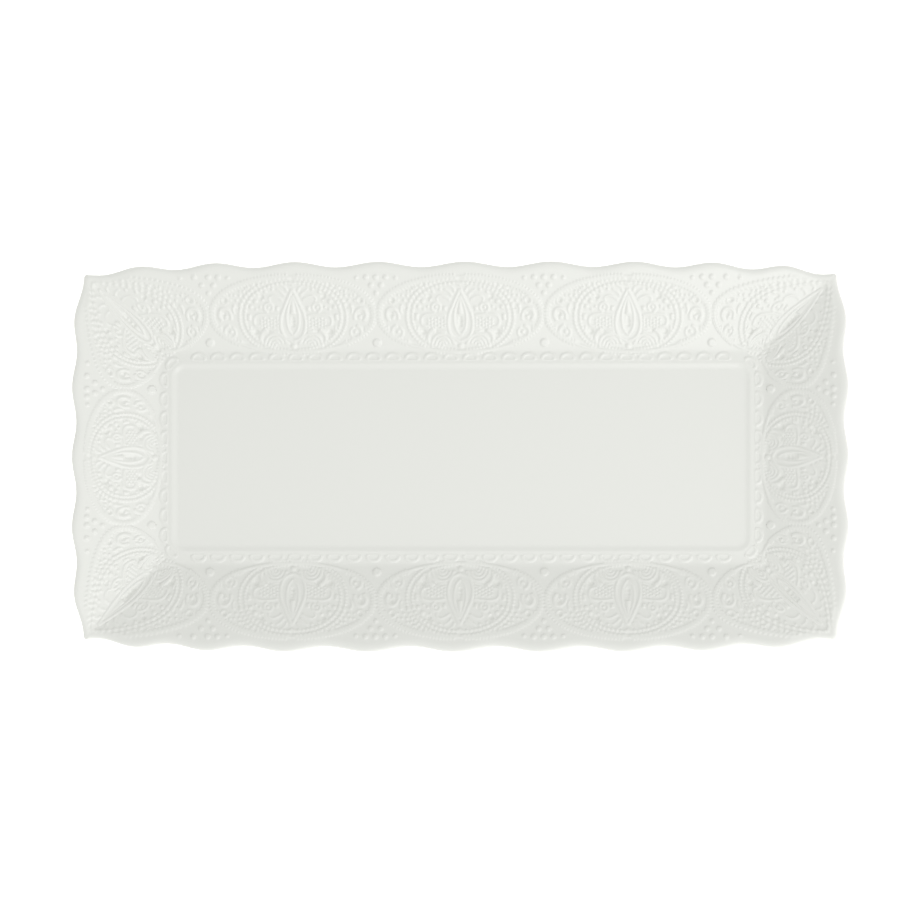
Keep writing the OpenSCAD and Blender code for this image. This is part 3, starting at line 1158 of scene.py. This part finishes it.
class PLATTER_OT_rim(bpy.types.Operator):
    """Forms the rim, presses the lace into it and cuts it into its twelve stretches"""

    bl_idname = "platter.rim"
    bl_label = "Flanks and Lip"

    def execute(self, context):
        sizes = context.scene.platter_sizes
        china = finish("glazed_china", glazed_china)
        lace, pits = bpy.data.objects["lace"], bpy.data.objects["lace_pits"]
        spacing = sizes.spacing
        rows, printed, starts, nose = rim_blank(spacing)
        blank = link_mesh("rim_blank", grid_mesh("rim_blank", rows, printed))
        values = {
            "Lace": lace,
            "Pits": pits,
            "Relief": sizes.relief,
            "Pit Depth": sizes.pit_depth,
            "Mould Depth": sizes.mould_depth,
            "Glaze Softness": sizes.softness,
            "Material": china,
        }
        pressed = run_tree(blank, press_tree(china), values)
        drop(blank, lace, pits)

        count, columns = rows.shape[:2]
        points = np.empty(count * columns * 3, np.float32)
        pressed.vertices.foreach_get("co", points)
        points = points.reshape(count, columns, 3)
        raised = np.empty(count * columns, np.float32)
        pressed.attributes["raised"].data.foreach_get("value", raised)
        raised = raised.reshape(count, columns)
        normals = np.empty(count * columns * 3, np.float32)
        pressed.vertex_normals.foreach_get("vector", normals)
        normals = normals.reshape(count, columns, 3)
        bpy.data.meshes.remove(pressed)

        # The glaze gathers where the lace is lower than its surroundings.
        wide = raised.copy()
        for _ in range(POOL_ROUNDS):
            for axis in (0, 1):
                wide = (2 * wide + np.roll(wide, 1, axis) + np.roll(wide, -1, axis)) / 4
        pooled = np.clip((wide - raised) / (POOL_DEPTH * MM), 0, 1)

        names = [
            ("back_left", "back"), ("back_middle", "back"), ("back_right", "back"),
            ("corner_back_right", "back right"), ("right_end", "right"),
            ("corner_front_right", "front right"),
            ("front_right", "front"), ("front_middle", "front"), ("front_left", "front"),
            ("corner_front_left", "front left"), ("left_end", "left"),
            ("corner_back_left", "back left"),
        ]
        for (name, sides), first, last in zip(names, starts, starts[1:] + [starts[0] + columns]):
            wanted = np.arange(first, last + 1) % columns
            piece = cut_stretch(
                "rim_" + name, points[:, wanted], normals[:, wanted], pooled[:, wanted], nose
            )
            piece.data.materials.append(china)
            parts = ("rim", "lip", "medallions")
            nodes = [f"{part}_{side}" for side in sides.split() for part in parts]
            settle(piece, nodes + ["chain_border", "pearls"])
        return {"FINISHED"}


def zip_shut(upper, lower):
    """Triangles that close the gap between two lines of points that meet at their ends."""
    triangles, i, j = [], 0, 0
    upper_end, lower_end = len(upper) - 1, len(lower) - 1
    while i < upper_end or j < lower_end:
        if i < upper_end and (i + 1) * lower_end <= (j + 1) * upper_end:
            corners = (upper[i + 1], upper[i], lower[j])
            i += 1
        elif j < lower_end:
            corners = (lower[j], lower[j + 1], upper[i])
            j += 1
        else:
            corners = (upper[i + 1], upper[i], lower[j])
            i += 1
        if len(set(corners)) == 3:
            triangles.append(corners)
    return triangles


def cut_stretch(name, points, normals, pooled, nose):
    """A closed solid from a stretch of the rim's grid. Its outside keeps the normals of
    the whole rim, so that no seam shows where two stretches meet."""
    count, columns = points.shape[:2]
    r, c = np.meshgrid(np.arange(count), np.arange(columns - 1), indexing="ij")
    r2 = (r + 1) % count
    quads = np.stack(
        [r * columns + c, r * columns + c + 1, r2 * columns + c + 1, r2 * columns + c], axis=-1
    ).reshape(-1, 4)
    caps = []
    for column, turned in ((0, -1), (columns - 1, 1)):
        line = np.arange(count) * columns + column
        caps += [corners[::turned] for corners in zip_shut(line[: nose + 1], line[:nose - 1:-1])]
    mesh = plain_mesh(name, points.reshape(-1, 3), quads, caps)
    own = mesh.attributes.new("custom_normal", "FLOAT_VECTOR", "POINT")
    own.data.foreach_set("vector", np.ascontiguousarray(normals).ravel())
    layer = mesh.attributes.new("pooled", "FLOAT", "POINT")
    layer.data.foreach_set("value", pooled.ravel().astype(np.float32))
    return link_mesh(name, mesh)


class PLATTER_OT_well(bpy.types.Operator):
    """The flat well floor, its edge tucked under the rim"""

    bl_idname = "platter.well"
    bl_label = "Well Floor"

    def execute(self, context):
        loops = [
            rounded_rect(FOOT_X - 3, FOOT_Y - 3, 8, BASE_Z),
            rounded_rect(WELL_X + 0.3, WELL_Y + 0.3, WELL_R + 0.3, FLOOR_Z - 0.4),
            rounded_rect(WELL_X + 0.3, WELL_Y + 0.3, WELL_R + 0.3, FLOOR_Z),
        ]
        mesh = stacked_mesh("well_plate", loops, False)
        mesh.shade_flat()
        mesh.materials.append(finish("glazed_china", glazed_china))
        settle(link_mesh("well_plate", mesh), ["well_floor"])
        return {"FINISHED"}


class PLATTER_OT_foot(bpy.types.Operator):
    """The foot ring: glazed sides and a bare rubbed sole"""

    bl_idname = "platter.foot"
    bl_label = "Foot Ring"

    def execute(self, context):
        mid_x, mid_y, mid_r = FOOT_X - FOOT_W / 2, FOOT_Y - FOOT_W / 2, FOOT_R - FOOT_W / 2
        # Section of the ring: offset from its middle line against height.
        half_section = [(3.6, BASE_Z + 0.5), (2.9, BASE_Z - 0.05), (2.35, BASE_Z - 0.5),
                        (2.1, BASE_Z - 1.2), (2.0, 1.0), (1.85, 0.5), (1.55, 0.16), (1.1, 0.02)]
        sole = [(0.5, 0.0), (-0.5, 0.0)]
        section = half_section + sole + [(-o, z) for o, z in half_section[::-1]]
        loops = [rounded_rect(mid_x + o, mid_y + o, mid_r + o, z) for o, z in section[::-1]]
        mesh = stacked_mesh("foot_band", loops, True)
        mesh.materials.append(finish("glazed_china", glazed_china))
        mesh.materials.append(finish("bare_foot", bare_foot))
        for polygon in mesh.polygons:
            if polygon.center.z < 0.12 * MM:
                polygon.material_index = 1
        settle(link_mesh("foot_band", mesh), ["foot_ring"])
        return {"FINISHED"}


class PLATTER_PT_panel(bpy.types.Panel):
    """Lists the platter's pieces in the order they are made"""

    bl_idname = "PLATTER_PT_panel"
    bl_label = "China Platter"
    bl_space_type = "VIEW_3D"
    bl_region_type = "UI"
    bl_category = "Platter"

    def draw(self, context):
        layout = self.layout
        for group in ("platter_sizes", "platter_looks", "platter_stage"):
            box = layout.box()
            properties = getattr(context.scene, group)
            for name in properties.__annotations__:
                box.prop(properties, name)
        for operator in OPERATORS:
            layout.operator(operator.bl_idname)


GROUPS = {
    "platter_sizes": PlatterSizes,
    "platter_looks": PlatterLooks,
    "platter_stage": PlatterStage,
}
OPERATORS = (
    PLATTER_OT_stage,
    PLATTER_OT_lace,
    PLATTER_OT_rim,
    PLATTER_OT_well,
    PLATTER_OT_foot,
)


def register():
    for name, group in GROUPS.items():
        bpy.utils.register_class(group)
        setattr(bpy.types.Scene, name, PointerProperty(type=group))
    for operator in OPERATORS:
        bpy.utils.register_class(operator)
    bpy.utils.register_class(PLATTER_PT_panel)


def unregister():
    bpy.utils.unregister_class(PLATTER_PT_panel)
    for operator in reversed(OPERATORS):
        bpy.utils.unregister_class(operator)
    for name, group in reversed(GROUPS.items()):
        delattr(bpy.types.Scene, name)
        bpy.utils.unregister_class(group)


def main():
    register()
    bpy.ops.platter.stage()
    bpy.ops.platter.lace()
    bpy.ops.platter.rim()
    bpy.ops.platter.well()
    bpy.ops.platter.foot()


if __name__ == "__main__":
    main()
